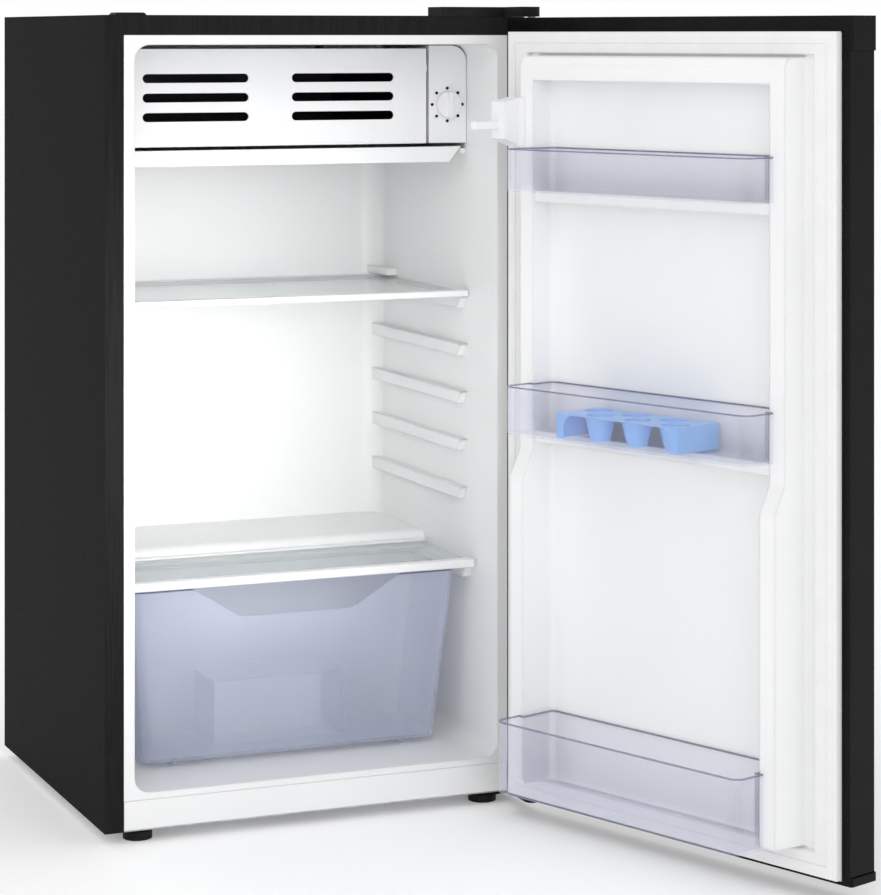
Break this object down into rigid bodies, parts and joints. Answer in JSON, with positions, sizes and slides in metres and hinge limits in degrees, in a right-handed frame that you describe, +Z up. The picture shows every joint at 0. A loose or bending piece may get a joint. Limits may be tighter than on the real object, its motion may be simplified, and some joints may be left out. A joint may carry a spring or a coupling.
{
  "type": "mini fridge",
  "caption": "Compact black fridge with its door open: white liner, slotted chiller flap, glass shelf, clear crisper drawer and clear door bins.",
  "frame": {"origin": "on the floor, midway between the four feet", "axes": "+Z up, front towards -Y, hinge side towards +X; the door is stored turned 110 degrees open"},
  "size_m": [0.62, 0.8965, 0.8495],
  "materials": {
    "black_steel": "fine leather-grain black coating on sheet steel",
    "gloss_black_plastic": "glossy black moulding",
    "black_plastic": "satin black moulding",
    "black_enamel": "baked black enamel",
    "black_rubber": "matt black rubber",
    "white_liner": "vacuum-formed white styrene with a soft sheen",
    "white_plastic": "white injection moulding, satin",
    "frosted_plastic": "translucent white moulding",
    "clear_plastic": "clear polystyrene with a faint blue tint",
    "pale_blue_plastic": "pale blue moulding",
    "gasket_vinyl": "soft white vinyl",
    "shelf_glass": "clear toughened glass",
    "aluminium": "rolled sheet",
    "galvanised_steel": "galvanised sheet",
    "zinc_steel": "zinc plate",
    "copper": "drawn copper tube",
    "ferrite": "flexible ferrite strip",
    "insulation": "rigid foam"
  },
  "bodies": {
    "cabinet": {"cabinet_shell": "black_steel", "back_panel": "galvanised_steel", "base_plate": "galvanised_steel", "front_plinth": "white_liner", "cabinet_foam": "insulation", "inner_liner": "white_liner", "compressor_bay_lining": "galvanised_steel", "foot_nuts": "zinc_steel", "feet_rear": "black_plastic", "flap_hinge_brackets": "white_plastic", "evaporator": "aluminium", "evaporator_hangers": "white_plastic", "thermostat_box": "white_plastic", "thermostat_body": "zinc_steel", "sensor_tube": "copper", "top_hinge_bracket": "zinc_steel", "top_hinge_pin": "zinc_steel", "hinge_screws": "zinc_steel", "top_hinge_cover": "black_plastic", "low_hinge_bracket": "black_steel", "low_hinge_washer": "black_plastic", "hinge_hole_plug": "black_plastic", "compressor": "black_enamel", "compressor_grommets": "black_rubber", "compressor_bolts": "zinc_steel", "terminal_cover": "black_plastic", "cord_gland": "black_rubber", "suction_tube": "copper", "capillary_tube": "copper", "discharge_tube": "copper", "liquid_tube": "copper", "filter_drier": "copper", "condenser_coil": "black_enamel", "condenser_wires": "black_enamel", "condenser_clips": "black_plastic"},
    "door": {"door_skin": "black_steel", "door_top_cap": "gloss_black_plastic", "door_bottom_cap": "gloss_black_plastic", "door_foam": "insulation", "door_liner": "white_liner", "door_gasket": "gasket_vinyl", "gasket_magnets": "ferrite", "door_bushes": "white_plastic", "door_bumper": "white_plastic"},
    "freezer_flap": {"freezer_flap": "white_plastic"},
    "thermostat_knob": {"thermostat_knob": "white_plastic"},
    "drip_tray": {"drip_tray": "frosted_plastic"},
    "shelf": {"shelf_glass": "shelf_glass", "shelf_front_trim": "white_plastic", "shelf_rear_trim": "white_plastic"},
    "crisper_cover": {"crisper_cover_glass": "shelf_glass", "crisper_cover_front_trim": "white_plastic", "crisper_cover_rear_trim": "white_plastic"},
    "crisper_drawer": {"crisper_drawer": "clear_plastic"},
    "door_bin_top": {"door_bin_top": "clear_plastic"},
    "door_bin_middle": {"door_bin_middle": "clear_plastic"},
    "door_bin_bottom": {"door_bin_bottom": "clear_plastic"},
    "egg_tray": {"egg_tray": "pale_blue_plastic"},
    "foot_front_left": {"foot_front_left": "black_plastic"},
    "foot_front_right": {"foot_front_right": "black_plastic"}
  },
  "joints": [
    {"name": "door_hinge", "type": "hinge", "parent": "cabinet", "child": "door", "pos_m": [0.2235, -0.241, 0.02], "axis": [0, 0, 1], "range_deg": [-110, 35]},
    {"name": "freezer_flap_hinge", "type": "hinge", "parent": "cabinet", "child": "freezer_flap", "pos_m": [-0.186, -0.114, 0.7], "axis": [0, 0, -1], "range_deg": [0, 88]},
    {"name": "thermostat_turn", "type": "hinge", "parent": "cabinet", "child": "thermostat_knob", "pos_m": [0.17775, -0.12, 0.744], "axis": [0, 1, 0], "range_deg": [0, 315]},
    {"name": "drip_tray_slide", "type": "slide", "parent": "cabinet", "child": "drip_tray", "axis": [0, -1, 0], "range_m": [0, 0.11]},
    {"name": "shelf_slide", "type": "slide", "parent": "cabinet", "child": "shelf", "axis": [0, -1, 0], "range_m": [0, 0.105]},
    {"name": "crisper_cover_slide", "type": "slide", "parent": "cabinet", "child": "crisper_cover", "axis": [0, -1, 0], "range_m": [0, 0.08]},
    {"name": "crisper_slide", "type": "slide", "parent": "cabinet", "child": "crisper_drawer", "axis": [0, -1, 0], "range_m": [0, 0.14]},
    {"name": "door_bin_top_lift", "type": "slide", "parent": "door", "child": "door_bin_top", "axis": [0, 0, 1], "range_m": [0, 0.025]},
    {"name": "door_bin_middle_lift", "type": "slide", "parent": "door", "child": "door_bin_middle", "axis": [0, 0, 1], "range_m": [0, 0.025]},
    {"name": "door_bin_bottom_lift", "type": "slide", "parent": "door", "child": "door_bin_bottom", "axis": [0, 0, 1], "range_m": [0, 0.025]},
    {"name": "egg_tray_lift", "type": "slide", "parent": "door_bin_middle", "child": "egg_tray", "axis": [0, 0, 1], "range_m": [0, 0.06]},
    {"name": "foot_left_turn", "type": "hinge", "parent": "cabinet", "child": "foot_front_left", "pos_m": [-0.192, -0.182, 0], "axis": [0, 0, 1], "range_deg": [0, 1080]},
    {"name": "foot_right_turn", "type": "hinge", "parent": "cabinet", "child": "foot_front_right", "pos_m": [0.192, -0.182, 0], "axis": [0, 0, 1], "range_deg": [0, 1080]}
  ]
}
